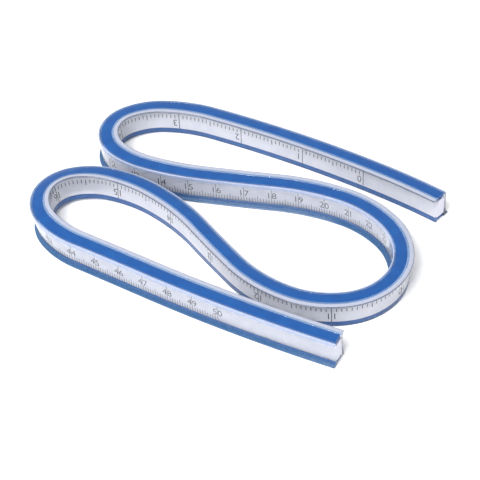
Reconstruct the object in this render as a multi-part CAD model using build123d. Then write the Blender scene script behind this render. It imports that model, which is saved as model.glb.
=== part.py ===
"""Flexible curve ruler, 50 cm, lying on its lower edge and folded into an S by three hairpin bends.

The ruler is one strip of constant section. A clear PVC sheath carries a blue strip in its top and
bottom edges. Inside it is a white jacket around a lead bar with a spring steel strip on each side.
Units are millimetres. +Z is up, along the height of the section. The origin is under the middle of
the folded ruler, on the surface that it lies on.

A real strip bends anywhere. Here it is divided into rigid stretches, hinged on the centreline where
the bends are. Each hinge opens its part of the bend from the folded shape to straight.
"""
from build123d import *
from math import cos, radians, sin
import os

# The section, in its own axes: u is across the strip, towards the inch face, and z is up.
HEIGHT = 10.1             # bottom edge to top edge
BODY_WIDTH = 6.0          # over the two scale faces
LIP_REACH = 1.3           # how far each wide lip stands out past its scale face
LIP_THICKNESS = 0.55
LIP_ROUND = 0.2           # rounding of the lip's outer edge
WALL = 1.1                # sheath wall over each scale face
RAIL_HEIGHT = 1.6         # height of the edges above and below the white jacket
STRIP_WIDTH = 3.8         # blue strip
STRIP_DEPTH = 1.5
LEAD_WIDTH = 2.2
LEAD_HEIGHT = 3.6
SPRING_THICKNESS = 0.25
FIT_GAP = 0.02            # clearance between nested pieces

# The length, from the 0 end to the 50 cm end.
PLUG_LENGTH = 5.0         # white plug that closes each end of the sheath
STRIP_SETBACK = 0.4       # the blue strips stop short of the ends by this much

# The centreline of the folded ruler: each run is (length, degrees turned to the left).
START = (69.7, 3.3)
START_HEADING = 137.5
FIRST_PASS = [(25, 5.0), (70, 9.0)]
FIRST_BEND = [(18, 21.0), (14, 36.0), (13, 56.5), (11, 43.5), (13, 24.0), (22, 12.0)]
SECOND_PASS = [(26, 1.5)]
SECOND_BEND = [(25, -18.0), (20, -28.5), (19, -37.0), (30, -78.5), (19, -34.5), (25, -27.0), (23, -3.0)]
THIRD_BEND = [(26, 18.0), (17, 21.5), (13, 34.0), (15, 65.0), (13, 41.0), (15, 25.5)]
FOURTH_PASS = [(29, -0.5), (74, 7.0)]
RUNS = FIRST_PASS + FIRST_BEND + SECOND_PASS + SECOND_BEND + THIRD_BEND + FOURTH_PASS
LENGTH = sum(length for length, _ in RUNS)

# The hinges: (distance along the centreline from the 0 end, degrees that it opens). The sign is
# the way the bend turns, positive to the left.
HINGES = [
    (117, 64), (136, 64), (153, 64),
    (245, -56), (277, -56), (299, -56), (327, -56),
    (412, 68), (436, 68), (454, 68),
]
HINGE_GAP = 0.2           # clear space between neighbouring stretches at the centreline
RELIEF_SPARE = 0.5        # degrees of spare in each relief cut
RELIEF_REACH = 9.0        # length of a relief cut, past the widest part of the section


def centreline(distance):
    """The point and the heading in degrees at a distance along the centreline."""
    x, y = START
    heading = START_HEADING
    for length, turn in RUNS:
        if distance <= 0:
            break
        step = min(distance, length)
        bend = turn * step / length
        chord = 2 * sin(radians(bend / 2)) * step / radians(bend)
        x += chord * cos(radians(heading + bend / 2))
        y += chord * sin(radians(heading + bend / 2))
        heading += bend
        distance -= step
    return (x, y), heading


def centreline_path(start, end):
    """The centreline between two distances, as tangent arcs."""
    stops = [start]
    passed = 0
    for length, _ in RUNS:
        passed += length
        if start + 0.01 < passed < end - 0.01:
            stops.append(passed)
    stops.append(end)
    arcs = []
    for a, b in zip(stops, stops[1:]):
        points = [centreline(s)[0] for s in (a, (a + b) / 2, b)]
        arcs.append(ThreePointArc(*points))
    return Wire(arcs)


def section_plane(distance):
    """The plane across the strip: its x is u, its y is up."""
    (x, y), heading = centreline(distance)
    ahead = (cos(radians(heading)), sin(radians(heading)), 0)
    left = (-ahead[1], ahead[0], 0)
    return Plane(origin=(x, y, 0), x_dir=left, z_dir=ahead)


def rectangle(width, low, high, middle=0.0):
    """A section rectangle, width across and from low to high in z."""
    return Pos(middle, (low + high) / 2) * Rectangle(width, high - low)


def swept(section, start, end):
    """The solid that a section makes between two distances along the centreline."""
    return sweep(section_plane(start) * section, path=centreline_path(start, end))


def wide_lip(upper):
    """The section of a wide lip: the upper one points to the inch face, the lower one away."""
    side = 1 if upper else -1
    inner = BODY_WIDTH / 4
    outer = BODY_WIDTH / 2 + LIP_REACH
    low = HEIGHT - LIP_THICKNESS if upper else 0
    lip = rectangle(outer - inner, low, low + LIP_THICKNESS, side * (inner + outer) / 2)
    tip = lip.vertices().filter_by(lambda v: abs(v.X) > outer - 0.01)
    return fillet(tip, LIP_ROUND)


def sheath_section():
    """Clear sheath: a closed tube, a lip and a groove at the top, the same half turned below."""
    cavity_width = BODY_WIDTH - 2 * WALL
    body = rectangle(BODY_WIDTH, 0, HEIGHT)
    body += wide_lip(upper=True)
    body += wide_lip(upper=False)
    body -= rectangle(STRIP_WIDTH, 0, STRIP_DEPTH)
    body -= rectangle(STRIP_WIDTH, HEIGHT - STRIP_DEPTH, HEIGHT)
    body -= rectangle(cavity_width, RAIL_HEIGHT, HEIGHT - RAIL_HEIGHT)
    return body


def strip_section(upper):
    """Blue strip, in the top groove or the bottom one, flush with the sheath's edge."""
    if upper:
        return rectangle(STRIP_WIDTH - 2 * FIT_GAP, HEIGHT - STRIP_DEPTH + FIT_GAP, HEIGHT)
    return rectangle(STRIP_WIDTH - 2 * FIT_GAP, 0, STRIP_DEPTH - FIT_GAP)


def cavity_filling():
    """The section that fills the sheath's cavity with a fitting clearance."""
    width = BODY_WIDTH - 2 * WALL - 2 * FIT_GAP
    return rectangle(width, RAIL_HEIGHT + FIT_GAP, HEIGHT - RAIL_HEIGHT - FIT_GAP)


def core_section(width, height, middle=0.0):
    """A rectangle centred on the height of the section, for the jacket's bore and what is in it."""
    return rectangle(width, (HEIGHT - height) / 2, (HEIGHT + height) / 2, middle)


def jacket_section():
    """White jacket: fills the cavity, with a bore for the lead bar and the two spring strips."""
    bore_width = LEAD_WIDTH + 2 * SPRING_THICKNESS + 6 * FIT_GAP
    return cavity_filling() - core_section(bore_width, LEAD_HEIGHT + 2 * FIT_GAP)


def spring_section(side):
    """One spring steel strip, standing on edge beside the lead bar."""
    middle = side * (LEAD_WIDTH / 2 + FIT_GAP + SPRING_THICKNESS / 2 + FIT_GAP)
    return core_section(SPRING_THICKNESS, LEAD_HEIGHT, middle)


def relief(distance, opening, towards):
    """The wedge that a stretch loses at a hinge, on the outside of the bend.

    towards is 1 for the stretch after the hinge and -1 for the stretch before it.
    """
    (x, y), heading = centreline(distance)
    outside = -90 if opening > 0 else 90
    half = abs(opening) / 2 + RELIEF_SPARE
    lean = half * towards * (1 if opening > 0 else -1)
    corners = [(0, 0)]
    for angle, reach in ((0, RELIEF_REACH), (lean, RELIEF_REACH / cos(radians(half)))):
        direction = radians(heading + outside + angle)
        corners.append((reach * cos(direction), reach * sin(direction)))
    outline = make_face(Polyline(*corners, close=True))
    return Pos(x, y, -1) * extrude(outline, HEIGHT + 2)


def stretch_piece(section, start, end, cuts):
    """A piece of one stretch, with its relief wedges cut away."""
    piece = swept(section, start, end)
    for wedge in cuts:
        piece -= wedge
    return piece


def write_node(name, pieces):
    """Write one node's STEP file."""
    shapes = [solid for piece in pieces for solid in piece.solids()]
    node = shapes[0] if len(shapes) == 1 else Compound(children=shapes)
    node.label = name
    export_step(node, f"parts/{name}.step")


def build_stretch(number, start, end, cuts):
    """All the pieces of one stretch. At the ruler's ends the core gives way to a plug."""
    tag = f"{number:02d}"
    at_first = start == 0
    at_last = end == LENGTH
    strip_ends = (start + STRIP_SETBACK * at_first, end - STRIP_SETBACK * at_last)
    plug_room = PLUG_LENGTH + FIT_GAP
    core_ends = (start + plug_room * at_first, end - plug_room * at_last)

    write_node(f"sheath_{tag}", [stretch_piece(sheath_section(), start, end, cuts)])
    strips = [stretch_piece(strip_section(upper), *strip_ends, cuts) for upper in (True, False)]
    write_node(f"edge_strips_{tag}", strips)
    write_node(f"jacket_{tag}", [stretch_piece(jacket_section(), *core_ends, cuts)])
    lead = core_section(LEAD_WIDTH, LEAD_HEIGHT)
    write_node(f"lead_bar_{tag}", [stretch_piece(lead, *core_ends, cuts)])
    springs = [stretch_piece(spring_section(side), *core_ends, cuts) for side in (1, -1)]
    write_node(f"spring_strips_{tag}", springs)
    if at_first:
        write_node("end_plug_zero", [swept(cavity_filling(), 0, PLUG_LENGTH)])
    if at_last:
        write_node("end_plug_fifty", [swept(cavity_filling(), LENGTH - PLUG_LENGTH, LENGTH)])


def build():
    """Every stretch from the 0 end to the 50 cm end."""
    os.makedirs("parts", exist_ok=True)
    starts = [None] + HINGES
    ends = HINGES + [None]
    for number, (before, after) in enumerate(zip(starts, ends), start=1):
        start = before[0] + HINGE_GAP / 2 if before else 0
        end = after[0] - HINGE_GAP / 2 if after else LENGTH
        cuts = []
        if before:
            cuts.append(relief(*before, towards=1))
        if after:
            cuts.append(relief(*after, towards=-1))
        build_stretch(number, start, end, cuts)


build()
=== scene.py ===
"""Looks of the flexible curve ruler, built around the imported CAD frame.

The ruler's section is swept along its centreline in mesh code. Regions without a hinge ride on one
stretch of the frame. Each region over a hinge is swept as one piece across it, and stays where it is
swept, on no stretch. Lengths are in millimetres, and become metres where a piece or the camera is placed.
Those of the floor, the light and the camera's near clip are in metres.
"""
import bpy
import bmesh
from math import cos, exp, radians, sin
from mathutils import Matrix, Vector


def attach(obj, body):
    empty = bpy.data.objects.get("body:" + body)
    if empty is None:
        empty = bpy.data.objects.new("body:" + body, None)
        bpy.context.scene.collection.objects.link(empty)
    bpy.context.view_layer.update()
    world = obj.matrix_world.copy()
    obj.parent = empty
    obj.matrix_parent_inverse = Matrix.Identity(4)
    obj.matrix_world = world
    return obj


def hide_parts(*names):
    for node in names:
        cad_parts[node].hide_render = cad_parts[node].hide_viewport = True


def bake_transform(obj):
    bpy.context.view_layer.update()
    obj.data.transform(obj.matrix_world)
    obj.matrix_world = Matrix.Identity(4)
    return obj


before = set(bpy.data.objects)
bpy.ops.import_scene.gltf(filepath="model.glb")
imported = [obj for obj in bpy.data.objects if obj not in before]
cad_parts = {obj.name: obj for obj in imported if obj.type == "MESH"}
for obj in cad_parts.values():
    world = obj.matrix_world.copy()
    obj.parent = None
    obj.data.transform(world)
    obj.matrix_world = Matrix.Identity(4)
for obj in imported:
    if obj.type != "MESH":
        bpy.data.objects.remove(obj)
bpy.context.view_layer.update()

MM = 0.001

# The section: u is across the strip, towards the inch face, and z is up.
HEIGHT = 10.1
BODY_WIDTH = 6.0          # over the two scale faces
FACE = BODY_WIDTH / 2     # from the middle to a scale face
LIP_REACH = 1.3           # how far each wide lip stands out past its scale face
LIP_THICKNESS = 0.55
WALL = 1.1                # sheath wall over each scale face
RAIL_HEIGHT = 1.6         # height of the edges above and below the white jacket
STRIP_WIDTH = 3.8         # blue strip
STRIP_DEPTH = 1.5
LEAD_WIDTH = 2.2
LEAD_HEIGHT = 3.6
SPRING_THICKNESS = 0.25
FIT_GAP = 0.02            # clearance around the pieces inside the jacket, and next to the plugs
BOND = 0.01               # the blue strips and the jacket reach this far into the sheath
OUTER_SKIN = 0.1          # a blue strip's outer face, with its soft edges, is within this depth
LIP_ROUND = 0.2
LIP_LINE = 0.1            # a lip's tip is painted dark, as shade, further than this above and below its middle
LIP_SEAM = 2.7            # where a lip's painted pale look starts, from the middle
RIM_SEAM = 2.5            # where the other side's painted light, a pale band, starts, from the middle
PAINTED_LIGHT_DEPTH = 1.15        # how far the painted light reaches down the scale face
BAND_TOP = 2.0            # top of the band of painted light, a paler blue, over the lower lip
EDGE_ROUND = 0.12
GROOVE_ROUND = 0.04
BOX_ROUND = 0.05          # soft edges of the jacket and its cavity
STRIP_ROUND = 0.06
CORE_ROUND = 0.03
CORNER_STEPS = 3          # straight pieces in a rounded corner
CORNER_SHARE = 0.45       # most of a side that one of its corners may take
CREASE_ANGLE = 25         # edges sharper than this many degrees stay crisp

# The looks of the sheath, as places in its list of materials.
# All looks but BODY are painted: light, shade and the blue that the clear edges show of the strips.
BODY, LIP, LIP_TIP_SHADE, LIP_RIM, RIM, PAINTED_LIGHT, LOWER_LIP, BAND = range(8)

# The length, from the 0 end to the 50 cm end.
PLUG_LENGTH = 5.0
PLUG_INSET = 0.05         # the plugs stop short of the sheath's ends by this much
STRIP_SETBACK = 0.4       # and the blue strips by this much
STATION_STEP = 1.0        # distance between the sections of a sweep

# The centreline of the folded ruler: each run is (length, degrees turned to the left).
START = (69.7, 3.3)
START_HEADING = 137.5
FIRST_PASS = [(25, 5.0), (70, 9.0)]
FIRST_BEND = [(18, 21.0), (14, 36.0), (13, 56.5), (11, 43.5), (13, 24.0), (22, 12.0)]
SECOND_PASS = [(26, 1.5)]
SECOND_BEND = [(25, -18.0), (20, -28.5), (19, -37.0), (30, -78.5), (19, -34.5), (25, -27.0), (23, -3.0)]
THIRD_BEND = [(26, 18.0), (17, 21.5), (13, 34.0), (15, 65.0), (13, 41.0), (15, 25.5)]
FOURTH_PASS = [(29, -0.5), (74, 7.0)]
RUNS = FIRST_PASS + FIRST_BEND + SECOND_PASS + SECOND_BEND + THIRD_BEND + FOURTH_PASS
LENGTH = sum(length for length, _ in RUNS)

# Each part of the ruler between two distances, and the stretch that carries it, or the two that it spans
# over a hinge.
REGIONS = [
    (0, 95, 1), (95, 128, 1, 2), (128, 144, 2, 3), (144, 187, 3, 4), (187, 212, 4),
    (212, 263, 4, 5), (263, 288, 5, 6), (288, 311, 6, 7), (311, 373, 7, 8),
    (373, 427.5, 8, 9), (427.5, 444, 9, 10), (444, 472, 10, 11), (472, LENGTH, 11),
]

# The strip leans a little to the centimetre side all along, and outwards where it bends. Each bend is
# (distance of its middle, degrees, reach). Positive is towards the inch face.
STANDING_LEAN = -2.5
LEANS = [(135, -3.5, 16), (290, 4.5, 50), (442, -11.0, 22)]

# The scales, which are printed on the white jacket, under the clear wall of the sheath.
INCH = 25.4
INCH_ZERO = 31.3          # distance of the zero line from the end
INCHES = 20
CENTIMETRE = 10
CENTIMETRE_ZERO = 30.8
CENTIMETRES = 50
PRINT_FACE = FACE - WALL + BOND
INK_THICKNESS = 0.02
# Bottom and top of the lines.
INCH_LINE = (1.65, 8.45)
HALF_INCH_LINE = (5.35, 7.55)
SIXTEENTH_LINE = (6.15, 7.55)
CENTIMETRE_LINE = (1.65, 8.35)
HALF_CENTIMETRE_LINE = (1.65, 4.45)
MILLIMETRE_LINE = (1.65, 3.55)
INCH_TICK_WIDTH = 0.24
MILLIMETRE_TICK_WIDTH = 0.15
# The numbers. A negative stroke makes the font's lines thinner.
DIGIT_HEIGHT = 2.8
DIGIT_SHARE = 0.72        # height of a digit as a share of the font's size
INCH_DIGIT_LOW = 2.65
CENTIMETRE_DIGIT_LOW = 4.05
INCH_DIGIT_STROKE = -0.03
CENTIMETRE_DIGIT_STROKE = -0.035
LONE_DIGIT_SHIFT = 1.6    # an inch number of one digit stands this far past its line

FLOOR_HALF_WIDTH = 6.0
FLOOR_DROP = 0.0002       # the floor lies this far below the ruler

CAMERA_TARGET = (-0.64, -4.71, 2.9)
CAMERA_DISTANCE = 811.8
CAMERA_ELEVATION = 41.765
CAMERA_ROLL = -3.47
CAMERA_LENS = 175.8       # on a sensor as wide as CAMERA_SENSOR
CAMERA_SENSOR = 36.0
CAMERA_CLIP = 0.01        # near clip


def centreline(distance):
    """The point and the heading in degrees at a distance along the centreline."""
    x, y = START
    heading = START_HEADING
    for length, turn in RUNS:
        if distance <= 0:
            break
        step = min(distance, length)
        bend = turn * step / length
        chord = 2 * sin(radians(bend / 2)) * step / radians(bend)
        x += chord * cos(radians(heading + bend / 2))
        y += chord * sin(radians(heading + bend / 2))
        heading += bend
        distance -= step
    return (x, y), heading


def lean(distance):
    """Degrees that the section leans towards the inch face."""
    bumps = sum(peak * exp(-((distance - middle) / reach) ** 2) for middle, peak, reach in LEANS)
    return STANDING_LEAN + bumps


def placer(distance):
    """A function from a section point (u, z) at this distance to a point in the row frame."""
    (x, y), heading = centreline(distance)
    across = Vector((-sin(radians(heading)), cos(radians(heading)), 0))
    tilt = radians(lean(distance))
    foot = FACE if tilt > 0 else -FACE - LIP_REACH
    rise = foot * sin(tilt)

    def place(u, z):
        sideways = u * cos(tilt) + z * sin(tilt)
        upwards = z * cos(tilt) - u * sin(tilt) + rise
        return (Vector((x, y, upwards)) + across * sideways) * MM

    return place


# Section profiles.


def rounded(corners):
    """The outline of (u, z, radius) corners, each replaced by a short arc unless its radius is 0."""
    outline = []
    for i, (u, z, wanted) in enumerate(corners):
        point = Vector((u, z))
        if wanted == 0:
            outline.append((u, z))
            continue
        back = Vector(corners[i - 1][:2]) - point
        ahead = Vector(corners[(i + 1) % len(corners)][:2]) - point
        radius = min(wanted, back.length * CORNER_SHARE, ahead.length * CORNER_SHARE)
        start = point + back.normalized() * radius
        end = point + ahead.normalized() * radius
        centre = start + end - point
        for step in range(CORNER_STEPS + 1):
            share = step / CORNER_STEPS * radians(90)
            outline.append(tuple(centre + (start - centre) * cos(share) + (end - centre) * sin(share)))
    return outline


def box_outline(width, low, high, middle=0.0, radius=BOX_ROUND):
    """A rectangle of the section, with slightly rounded corners."""
    left = middle - width / 2
    right = middle + width / 2
    return rounded([
        (left, low, radius), (right, low, radius), (right, high, radius), (left, high, radius),
    ])


def sheath_outline():
    """Outside of the clear sheath, as one half and the same half turned half round.

    The corners of radius 0 are seams, where the sheath's look changes.
    """
    tip = FACE + LIP_REACH
    groove = STRIP_WIDTH / 2
    half = [
        (-tip, LIP_THICKNESS, LIP_ROUND), (-tip, 0, LIP_ROUND), (-LIP_SEAM, 0, 0),
        (-groove, 0, GROOVE_ROUND), (-groove, STRIP_DEPTH, GROOVE_ROUND),
        (groove, STRIP_DEPTH, GROOVE_ROUND), (groove, 0, GROOVE_ROUND),
        (RIM_SEAM, 0, 0), (FACE, 0, EDGE_ROUND), (FACE, PAINTED_LIGHT_DEPTH, 0),
        (FACE, HEIGHT - BAND_TOP, 0), (FACE, HEIGHT - LIP_THICKNESS, EDGE_ROUND),
    ]
    other = [(-u, HEIGHT - z, radius) for u, z, radius in half]
    return rounded(half + other)


def sheath_slot(u, z):
    """The sheath's look at a point of its outline, as a place in the list that sheath_look makes."""
    upper = z > HEIGHT / 2
    on_lip_side = (u > 0) == upper
    out = abs(u)
    depth = HEIGHT - z if upper else z
    if out < STRIP_WIDTH / 2 + GROOVE_ROUND:
        return BODY
    # The lips are painted pale, as light from above makes them look.
    if on_lip_side and depth < LIP_THICKNESS + EDGE_ROUND and out > LIP_SEAM:
        # The lower lip gets a painted blue, reflection and shade.
        if not upper:
            return LOWER_LIP
        # The tip's top and bottom get a painted shade, a dark edge line.
        at_tip = out > FACE + LIP_REACH - LIP_ROUND
        return LIP_TIP_SHADE if at_tip and abs(depth - LIP_THICKNESS / 2) > LIP_LINE else LIP
    # The wall over the lower lip gets a band of painted light.
    if not upper:
        return BAND if on_lip_side and depth < BAND_TOP else BODY
    # This top edge gets the strip's blue painted on, as refraction in the clear PVC shows it.
    if depth < EDGE_ROUND and on_lip_side and out < LIP_SEAM:
        return LIP_RIM
    # This top edge gets the strip's blue painted on, as refraction in the clear PVC shows it.
    if depth < EDGE_ROUND and not on_lip_side and out < RIM_SEAM:
        return RIM
    # Painted light at the top of the face on the side without the upper lip.
    if not on_lip_side and depth < PAINTED_LIGHT_DEPTH:
        return PAINTED_LIGHT
    return BODY


def cavity_outline(spare):
    """The cavity of the sheath, wider all round by spare."""
    width = BODY_WIDTH - 2 * WALL + 2 * spare
    return box_outline(width, RAIL_HEIGHT - spare, HEIGHT - RAIL_HEIGHT + spare)


def jacket_slot(u, z):
    """0 on the inch side of the white jacket, 1 on the centimetre side, which gets a painted shade."""
    return 1 if u < 0 else 0


def strip_outline(upper):
    """A blue strip, a little proud of the sheath, with its crown softened."""
    width = STRIP_WIDTH + 2 * BOND
    inside = STRIP_DEPTH + BOND
    if upper:
        return box_outline(width, HEIGHT - inside, HEIGHT + BOND, radius=STRIP_ROUND)
    return box_outline(width, -BOND, inside, radius=STRIP_ROUND)


def strip_slot(u, z):
    """0 on a blue strip's outer face, 1 where it is seen through the clear sheath, which gets a paler blue
    as painted light.
    """
    return 0 if min(z, HEIGHT - z) < OUTER_SKIN else 1


def core_outline(width, height, middle=0.0):
    """A rectangle centred on the height of the section."""
    return box_outline(width, (HEIGHT - height) / 2, (HEIGHT + height) / 2, middle, CORE_ROUND)


def bore_outline():
    """The bore of the white jacket, which holds the lead bar and the two spring strips."""
    return core_outline(LEAD_WIDTH + 2 * SPRING_THICKNESS + 6 * FIT_GAP, LEAD_HEIGHT + 2 * FIT_GAP)


def spring_outline(side):
    """One spring steel strip, on edge beside the lead bar."""
    middle = side * (LEAD_WIDTH / 2 + 2 * FIT_GAP + SPRING_THICKNESS / 2)
    return core_outline(SPRING_THICKNESS, LEAD_HEIGHT, middle)


# Meshes.


def finish_mesh(name, bm, materials):
    """An object from a bmesh, smooth along the strip and crisp over the section's corners."""
    mesh = bpy.data.meshes.new(name)
    bm.to_mesh(mesh)
    bm.free()
    mesh.shade_smooth()
    mesh.set_sharp_from_angle(angle=radians(CREASE_ANGLE))
    for material in materials:
        mesh.materials.append(material)
    piece = bpy.data.objects.new(name, mesh)
    bpy.context.scene.collection.objects.link(piece)
    return piece


def stations(start, end):
    """Evenly spaced distances from start to end, about STATION_STEP apart."""
    count = max(1, round((end - start) / STATION_STEP))
    return [start + (end - start) * i / count for i in range(count + 1)]


def add_sweep(bm, outline, start, end, inward=False, slot_of=None):
    """The wall that an outline makes between two distances. Returns its first and last rings.

    slot_of gives the material slot of the wall at a section point.
    """
    rings = []
    for distance in stations(start, end):
        place = placer(distance)
        rings.append([bm.verts.new(place(u, z)) for u, z in outline])
    for i in range(len(outline)):
        j = (i + 1) % len(outline)
        slot = 0
        if slot_of:
            slot = slot_of((outline[i][0] + outline[j][0]) / 2, (outline[i][1] + outline[j][1]) / 2)
        for ring, following in zip(rings, rings[1:]):
            corners = (ring[i], following[i], following[j], ring[j])
            face = bm.faces.new(reversed(corners) if inward else corners)
            face.material_index = slot
    return rings[0], rings[-1]


def close_end(bm, rings):
    """Fill the flat end between an outer ring and any inner ones."""
    edges = []
    for ring in rings:
        for a, b in zip(ring, ring[1:] + ring[:1]):
            edges.append(bm.edges.get((a, b)))
    bmesh.ops.triangle_fill(bm, use_beauty=True, use_dissolve=False, edges=edges)


def swept_piece(name, outlines, span, materials, holes=(), slot_of=None):
    """A piece swept over a span, which is (start, end, close its start, close its end)."""
    start, end, close_start, close_finish = span
    bm = bmesh.new()
    for outline in outlines:
        first, last = add_sweep(bm, outline, start, end, slot_of=slot_of)
        firsts = [first]
        lasts = [last]
        for hole in holes:
            first, last = add_sweep(bm, hole, start, end, inward=True)
            firsts.append(first)
            lasts.append(last)
        if close_start:
            close_end(bm, firsts)
        if close_finish:
            close_end(bm, lasts)
    bmesh.ops.recalc_face_normals(bm, faces=bm.faces)
    return finish_mesh(name, bm, materials)


# Materials.


def new_material(name, **values):
    """A material with one Principled shader whose sockets are set by name."""
    material = bpy.data.materials.new(name)
    material.use_nodes = True
    shader = material.node_tree.nodes["Principled BSDF"]
    for socket, value in values.items():
        shader.inputs[socket.replace("_", " ")].default_value = value
    return material, material.node_tree, shader


def noise(tree, scale, detail=2.0, stretch=(1, 1, 1)):
    """A noise texture in object space, stretched along the axes. Returns its Fac socket."""
    coordinates = tree.nodes.new("ShaderNodeTexCoord")
    mapping = tree.nodes.new("ShaderNodeMapping")
    mapping.inputs["Scale"].default_value = stretch
    texture = tree.nodes.new("ShaderNodeTexNoise")
    texture.inputs["Scale"].default_value = scale
    texture.inputs["Detail"].default_value = detail
    tree.links.new(coordinates.outputs["Object"], mapping.inputs["Vector"])
    tree.links.new(mapping.outputs["Vector"], texture.inputs["Vector"])
    return texture.outputs["Fac"]


def ramp(tree, factor, low, high):
    """Spread a noise factor between two colours. Returns the colour socket."""
    node = tree.nodes.new("ShaderNodeValToRGB")
    node.color_ramp.elements[0].position = 0.3
    node.color_ramp.elements[0].color = low
    node.color_ramp.elements[1].position = 0.7
    node.color_ramp.elements[1].color = high
    tree.links.new(factor, node.inputs["Fac"])
    return node.outputs["Color"]


def spread(tree, factor, low, high):
    """Spread a factor from 0..1 to low..high. Returns the value socket."""
    node = tree.nodes.new("ShaderNodeMapRange")
    node.inputs["To Min"].default_value = low
    node.inputs["To Max"].default_value = high
    tree.links.new(factor, node.inputs["Value"])
    return node.outputs["Result"]


def bump(tree, shader, height, strength, distance):
    """Raise the surface by a height socket."""
    node = tree.nodes.new("ShaderNodeBump")
    node.inputs["Strength"].default_value = strength
    node.inputs["Distance"].default_value = distance
    tree.links.new(height, node.inputs["Height"])
    tree.links.new(node.outputs["Normal"], shader.inputs["Normal"])


def colour(red, green, blue):
    """A linear RGBA colour from sRGB numbers of 0 to 255."""
    def linear(value):
        share = value / 255
        return share / 12.92 if share <= 0.04045 else ((share + 0.055) / 1.055) ** 2.4
    return (linear(red), linear(green), linear(blue), 1.0)


def moulded_pvc(name, clearness, low, high):
    """Extruded PVC of some clearness, glossy, with the faint ripple of the die."""
    material, tree, shader = new_material(name, Transmission_Weight=clearness, IOR=1.5)
    ripple = noise(tree, 900, detail=3.0, stretch=(1, 1, 0.25))
    tree.links.new(ramp(tree, ripple, low, high), shader.inputs["Base Color"])
    tree.links.new(spread(tree, ripple, 0.04, 0.10), shader.inputs["Roughness"])
    bump(tree, shader, ripple, strength=0.03, distance=0.00004)
    return material


def clear_pvc():
    """The sheath's body: clear and slightly bluish."""
    return moulded_pvc("clear_pvc", 1.0, colour(246, 250, 255), colour(252, 253, 255))


def sheath_look():
    """The sheath's materials, in the order of the looks."""
    return [
        clear_pvc(),
        # Painted light: the clear lips coloured a pale, nearly opaque lavender, for the lit jacket seen
        # through them from above.
        moulded_pvc("lip_pvc", 0.15, colour(160, 166, 184), colour(170, 175, 193)),
        # Painted shade: the dark line that refraction shows along a lip's tip.
        moulded_pvc("lip_tip_painted_shade", 0.15, colour(74, 80, 96), colour(88, 94, 112)),
        # Painted: the strip's blue as refraction in the clear top edge shows it, on the lip's side.
        moulded_pvc("lip_rim_painted_blue", 0.6, colour(126, 163, 212), colour(140, 175, 222)),
        # Painted: the strip's blue as refraction in the clear top edge shows it, on the side without the
        # upper lip.
        moulded_pvc("rim_painted_blue", 0.7, colour(92, 136, 196), colour(106, 148, 204)),
        # Painted light: a pale lavender at the top of the face away from the upper lip, for light that
        # reaches the jacket through the clear rail.
        moulded_pvc("painted_light_pvc", 0.3, colour(162, 173, 203), colour(174, 184, 213)),
        # Painted reflection and shade: the clear lower lip coloured deep blue, for the blue strip it shows
        # and the shaded floor under it.
        moulded_pvc("lower_lip_painted_blue", 0.08, colour(48, 84, 124), colour(60, 96, 136)),
        # Painted light: a hazy paler blue on the wall over the lower lip, over the blue strip seen through
        # it.
        moulded_pvc("band_painted_light", 0.6, colour(96, 136, 190), colour(108, 146, 198)),
    ]


def blue_pvc(name, low, high):
    """Opaque blue PVC, satin, with slight mottling and fine lengthwise drag marks."""
    material, tree, shader = new_material(name, IOR=1.5, Specular_IOR_Level=0.35)
    mottle = noise(tree, 260, detail=4.0)
    grain = noise(tree, 2600, detail=2.0)
    tree.links.new(ramp(tree, mottle, low, high), shader.inputs["Base Color"])
    tree.links.new(spread(tree, grain, 0.32, 0.46), shader.inputs["Roughness"])
    bump(tree, shader, grain, strength=0.10, distance=0.00003)
    return material


def white_pvc(name, low, high):
    """White PVC jacket, satin, very slightly uneven."""
    material, tree, shader = new_material(name, IOR=1.5)
    mottle = noise(tree, 300, detail=3.0)
    grain = noise(tree, 3000, detail=2.0)
    tree.links.new(ramp(tree, mottle, low, high), shader.inputs["Base Color"])
    tree.links.new(spread(tree, grain, 0.40, 0.55), shader.inputs["Roughness"])
    bump(tree, shader, grain, strength=0.08, distance=0.00003)
    return material


def plug_pvc():
    """The end plugs' end faces: a darker white, painted shade."""
    material, tree, shader = new_material("plug_pvc", IOR=1.5)
    mottle = noise(tree, 800, detail=3.0)
    shade = ramp(tree, mottle, colour(192, 192, 207), colour(202, 202, 215))
    tree.links.new(shade, shader.inputs["Base Color"])
    tree.links.new(spread(tree, mottle, 0.45, 0.6), shader.inputs["Roughness"])
    bump(tree, shader, mottle, strength=0.1, distance=0.00004)
    return material


def ink(name, low, high):
    """Printing ink, a little uneven in its cover."""
    material, tree, shader = new_material(name, IOR=1.45)
    patch = noise(tree, 1500, detail=2.0)
    tree.links.new(ramp(tree, patch, low, high), shader.inputs["Base Color"])
    tree.links.new(spread(tree, patch, 0.45, 0.65), shader.inputs["Roughness"])
    return material


def lead():
    """Dull lead, clouded with oxide."""
    material, tree, shader = new_material("dull_lead", Metallic=1.0)
    cloud = noise(tree, 700, detail=4.0)
    shade = ramp(tree, cloud, colour(96, 99, 106), colour(150, 153, 160))
    tree.links.new(shade, shader.inputs["Base Color"])
    tree.links.new(spread(tree, cloud, 0.45, 0.7), shader.inputs["Roughness"])
    bump(tree, shader, cloud, strength=0.2, distance=0.00005)
    return material


def spring_steel():
    """Blued spring steel, rolled along its length."""
    material, tree, shader = new_material("spring_steel", Metallic=1.0)
    rolled = noise(tree, 900, detail=3.0, stretch=(1, 1, 8))
    shade = ramp(tree, rolled, colour(120, 128, 150), colour(176, 182, 196))
    tree.links.new(shade, shader.inputs["Base Color"])
    tree.links.new(spread(tree, rolled, 0.22, 0.38), shader.inputs["Roughness"])
    return material


def floor_paper():
    """White seamless paper."""
    material, tree, shader = new_material("floor_paper", Roughness=0.9)
    fibre = noise(tree, 60, detail=3.0)
    shade = ramp(tree, fibre, colour(250, 250, 251), colour(253, 253, 253))
    tree.links.new(shade, shader.inputs["Base Color"])
    return material


# The scales.


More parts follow.
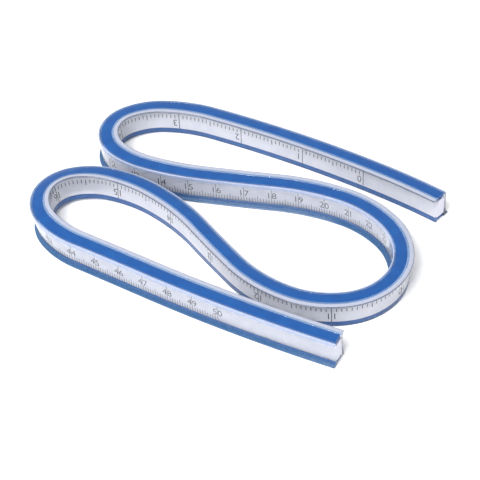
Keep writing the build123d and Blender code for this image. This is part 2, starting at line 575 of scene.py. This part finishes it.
def add_mark(bm, side, distance, line, width):
    """One printed line across a face of the jacket, as a thin solid. side is 1 for the inch face."""
    corners = []
    for s in (distance - width / 2, distance + width / 2):
        place = placer(s)
        for depth in (-INK_THICKNESS / 2, INK_THICKNESS):
            for z in line:
                corners.append(bm.verts.new(place(side * (PRINT_FACE + depth), z)))
    for a, b, c, d in ((0, 1, 3, 2), (4, 6, 7, 5), (0, 4, 5, 1), (2, 3, 7, 6), (0, 2, 6, 4), (1, 5, 7, 3)):
        bm.faces.new((corners[a], corners[b], corners[c], corners[d]))


def digit_mesh(text, stroke):
    """The mesh of a number with a thin body, with its middle at x 0, in millimetres."""
    curve = bpy.data.curves.new("number", "FONT")
    curve.body = text
    curve.align_x = "CENTER"
    curve.size = DIGIT_HEIGHT / DIGIT_SHARE
    curve.offset = stroke
    curve.extrude = INK_THICKNESS * 0.75
    curve.resolution_u = 3
    source = bpy.data.objects.new("number", curve)
    bpy.context.scene.collection.objects.link(source)
    bpy.context.view_layer.update()
    evaluated = source.evaluated_get(bpy.context.evaluated_depsgraph_get())
    mesh = bpy.data.meshes.new_from_object(evaluated)
    bpy.data.objects.remove(source)
    bpy.data.curves.remove(curve)
    return mesh


def add_number(bm, side, distance, text, low, stroke, upside_down):
    """A number printed on a face of the jacket, with its middle at a distance."""
    mesh = digit_mesh(text, stroke)
    middle = low + DIGIT_HEIGHT / 2
    made = []
    for vertex in mesh.vertices:
        x, y, proud = vertex.co
        place = placer(distance + x)
        rise = (DIGIT_HEIGHT / 2 - y) if upside_down else (y - DIGIT_HEIGHT / 2)
        u = side * (PRINT_FACE + proud + INK_THICKNESS / 4)
        made.append(bm.verts.new(place(u, middle + rise)))
    for polygon in mesh.polygons:
        bm.faces.new([made[i] for i in polygon.vertices])
    bpy.data.meshes.remove(mesh)


def inch_marks(bm, start, end):
    """Inches on the +u face: the marks hang from under the lip, read with the ruler turned over."""
    for count in range(INCHES * 16 + 1):
        distance = INCH_ZERO + count * INCH / 16
        if not start <= distance < end:
            continue
        line = SIXTEENTH_LINE
        if count % 8 == 0:
            line = HALF_INCH_LINE
        if count % 16 == 0:
            line = INCH_LINE
        add_mark(bm, 1, distance, line, INCH_TICK_WIDTH)
    for number in range(INCHES + 1):
        distance = INCH_ZERO + number * INCH
        middle = distance + (LONE_DIGIT_SHIFT if number < 10 else 0)
        if start <= distance < end:
            add_number(bm, 1, middle, str(number), INCH_DIGIT_LOW, INCH_DIGIT_STROKE, True)


def centimetre_marks(bm, start, end):
    """Centimetres on the -u face: the marks rise from the lower rail."""
    for count in range(CENTIMETRES * 10 + 1):
        distance = CENTIMETRE_ZERO + count
        if not start <= distance < end:
            continue
        line = MILLIMETRE_LINE
        if count % 5 == 0:
            line = HALF_CENTIMETRE_LINE
        if count % 10 == 0:
            line = CENTIMETRE_LINE
        add_mark(bm, -1, distance, line, MILLIMETRE_TICK_WIDTH)
    for number in range(CENTIMETRES + 1):
        middle = CENTIMETRE_ZERO + number * CENTIMETRE
        if start <= middle < end:
            add_number(
                bm, -1, middle, str(number), CENTIMETRE_DIGIT_LOW, CENTIMETRE_DIGIT_STROKE, False
            )


def scale_piece(name, marks, start, end, material):
    """All the printing of one scale between two distances."""
    bm = bmesh.new()
    marks(bm, start, end)
    bmesh.ops.recalc_face_normals(bm, faces=bm.faces)
    return finish_mesh(name, bm, [material])


# The ruler.


def carry(piece, region, stem=None):
    """Put a piece on the stretch of its region, or leave a piece over a hinge where it is, on no stretch.

    A piece over a hinge stands for the CAD node of the later stretch, and the first piece for that of
    the first stretch. The other pieces only add to them.
    """
    start, end, *numbers = region
    bodies = [f"stretch_{n:02d}" for n in numbers]
    if len(bodies) == 1:
        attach(piece, bodies[0])
    else:
        low = Vector((*centreline(start)[0], 0)) * MM
        high = Vector((*centreline(end)[0], 0)) * MM
        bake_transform(piece)
    if stem and (len(bodies) == 2 or start == 0):
        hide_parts(f"{stem}_{numbers[-1]:02d}")


def build_region(index, region, look):
    """Every piece of the ruler between two distances."""
    start, end = region[:2]
    at_first = start == 0
    at_last = end == LENGTH
    whole = (start, end, at_first, at_last)
    strip = (start + STRIP_SETBACK * at_first, end - STRIP_SETBACK * at_last, at_first, at_last)
    plug_room = PLUG_LENGTH + FIT_GAP
    core = (start + plug_room * at_first, end - plug_room * at_last, at_first, at_last)
    tag = f"{index:02d}"
    sheath = swept_piece(
        f"clear_sheath_{tag}", [sheath_outline()], whole, look["sheath"], [cavity_outline(0)], sheath_slot
    )
    carry(sheath, region, "sheath")
    strips = swept_piece(
        f"blue_strips_{tag}", [strip_outline(True), strip_outline(False)], strip, look["blue"],
        slot_of=strip_slot
    )
    carry(strips, region, "edge_strips")
    jacket = swept_piece(
        f"white_jacket_{tag}", [cavity_outline(BOND)], core, look["white"], [bore_outline()], jacket_slot
    )
    carry(jacket, region, "jacket")
    bar = swept_piece(f"lead_core_{tag}", [core_outline(LEAD_WIDTH, LEAD_HEIGHT)], core, [look["lead"]])
    carry(bar, region, "lead_bar")
    springs = swept_piece(
        f"springs_{tag}", [spring_outline(1), spring_outline(-1)], core, [look["steel"]]
    )
    carry(springs, region, "spring_strips")
    for unit, marks in (("inch", inch_marks), ("centimetre", centimetre_marks)):
        printing = scale_piece(f"{unit}_scale_{tag}", marks, start, end, look[f"{unit}_ink"])
        carry(printing, region)


def build_plug(name, start, end, body, node, materials):
    """The white plug that closes one end, with painted shade on the end face, a darker white than where
    the sheath covers it.
    """
    span = (start, end, True, True)
    plug = swept_piece(name, [cavity_outline(BOND)], span, materials, slot_of=jacket_slot)
    for polygon in plug.data.polygons:
        if len(polygon.vertices) == 3:
            polygon.material_index = 2
    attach(plug, body)
    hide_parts(node)


def build_ruler():
    """The materials, every region of the ruler and its two plugs."""
    look = {
        "sheath": sheath_look(),
        "blue": [blue_pvc("blue_pvc", colour(4, 66, 131), colour(9, 75, 140)),
                 # Painted light: a paler copy of the same blue, for the strip seen through the clear
                 # sheath.
                 blue_pvc("blue_pvc_painted_paler", colour(4, 85, 154), colour(8, 95, 166))],
        "white": [white_pvc("white_pvc", colour(238, 238, 246), colour(247, 246, 251)),
                  # Painted shade: a darker copy of the same white for the centimetre side, which the lamp
                  # lights more.
                  white_pvc("white_pvc_painted_shade", colour(218, 219, 229), colour(227, 228, 236))],
        "inch_ink": ink("inch_ink", colour(8, 10, 20), colour(26, 28, 40)),
        "centimetre_ink": ink("centimetre_ink", colour(22, 25, 38), colour(46, 50, 66)),
        "lead": lead(),
        "steel": spring_steel(),
    }
    for index, region in enumerate(REGIONS, start=1):
        build_region(index, region, look)
    plug_look = look["white"] + [plug_pvc()]
    build_plug("plug_zero", PLUG_INSET, PLUG_LENGTH, "stretch_01", "end_plug_zero", plug_look)
    last = (LENGTH - PLUG_LENGTH, LENGTH - PLUG_INSET)
    build_plug("plug_fifty", *last, "stretch_11", "end_plug_fifty", plug_look)


# The scene.


def build_floor():
    """A plain pale floor, wide enough for every view."""
    bm = bmesh.new()
    bmesh.ops.create_grid(bm, x_segments=8, y_segments=8, size=FLOOR_HALF_WIDTH)
    floor = finish_mesh("floor", bm, [floor_paper()])
    floor.location.z = -FLOOR_DROP


def build_light(name, size, power, location):
    """A soft square area lamp that faces the ruler."""
    lamp = bpy.data.lights.new(name, "AREA")
    lamp.shape = "SQUARE"
    lamp.size = size
    lamp.energy = power
    holder = bpy.data.objects.new(name, lamp)
    holder.location = location
    holder.rotation_mode = "QUATERNION"
    holder.rotation_quaternion = (-Vector(location)).to_track_quat("-Z", "Y")
    bpy.context.scene.collection.objects.link(holder)


def build_world(strength):
    """Even white surroundings."""
    world = bpy.data.worlds.new("studio")
    world.use_nodes = True
    world.node_tree.nodes["Background"].inputs["Color"].default_value = (1, 1, 1, 1)
    world.node_tree.nodes["Background"].inputs["Strength"].default_value = strength
    bpy.context.scene.world = world


def build_camera():
    """A long lens from the front, 42 degrees above the floor, rolled a little."""
    tilt = radians(CAMERA_ELEVATION)
    roll = radians(CAMERA_ROLL)
    forward = Vector((0, cos(tilt), -sin(tilt)))
    level = Vector((1, 0, 0))
    upright = Vector((0, sin(tilt), cos(tilt)))
    right = level * cos(roll) + upright * sin(roll)
    up = upright * cos(roll) - level * sin(roll)
    data = bpy.data.cameras.new("camera")
    data.lens = CAMERA_LENS
    data.sensor_width = CAMERA_SENSOR
    data.clip_start = CAMERA_CLIP
    camera = bpy.data.objects.new("camera", data)
    turn = Matrix((right, up, -forward)).transposed()
    camera.matrix_world = Matrix.Translation(
        (Vector(CAMERA_TARGET) - forward * CAMERA_DISTANCE) * MM
    ) @ turn.to_4x4()
    bpy.context.scene.collection.objects.link(camera)
    bpy.context.scene.camera = camera


def build_scene():
    """What is around the ruler, and the camera."""
    build_floor()
    build_world(strength=0.85)
    build_light("key", size=1.0, power=38, location=(-0.6, -0.85, 1.35))
    build_camera()
    bpy.context.scene.view_settings.view_transform = "Standard"


build_ruler()
build_scene()
